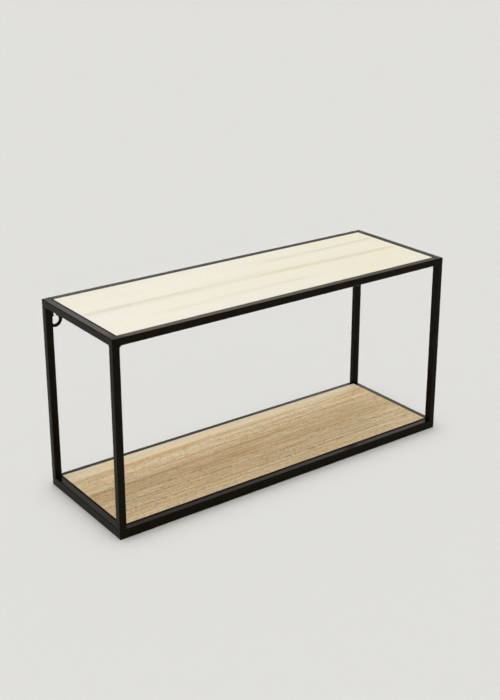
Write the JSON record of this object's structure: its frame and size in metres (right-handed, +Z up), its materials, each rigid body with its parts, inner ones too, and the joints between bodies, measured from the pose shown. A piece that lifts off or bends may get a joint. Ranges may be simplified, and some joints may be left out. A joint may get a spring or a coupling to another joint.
{
  "type": "desk hutch",
  "caption": "Open desk hutch: two wooden shelf boards let into a black welded square-tube frame, with keyhole plates in the rear top corners.",
  "frame": {"origin": "middle of the footprint, on the surface that the hutch stands on", "axes": "+X along the width, -Y towards the front, +Z up"},
  "size_m": [0.6, 0.2, 0.295],
  "materials": {
    "frame_paint": "satin black powder coat",
    "top_wood": "pale whitewashed veneer, matt",
    "bottom_wood": "light oak veneer, matt",
    "screw_steel": "bright zinc plate"
  },
  "bodies": {
    "root": {"top_front_rail": "frame_paint", "top_rear_rail": "frame_paint", "top_left_rail": "frame_paint", "top_right_rail": "frame_paint", "bottom_front_rail": "frame_paint", "bottom_rear_rail": "frame_paint", "bottom_left_rail": "frame_paint", "bottom_right_rail": "frame_paint", "upright_front_left": "frame_paint", "upright_front_right": "frame_paint", "upright_rear_left": "frame_paint", "upright_rear_right": "frame_paint", "top_shelf_panel": "top_wood", "bottom_shelf_panel": "bottom_wood", "hanger_left": "frame_paint", "hanger_right": "frame_paint", "top_support_tabs": "frame_paint", "bottom_support_tabs": "frame_paint", "top_shelf_screws": "screw_steel", "bottom_shelf_screws": "screw_steel", "weld_beads": "frame_paint"}
  },
  "joints": []
}
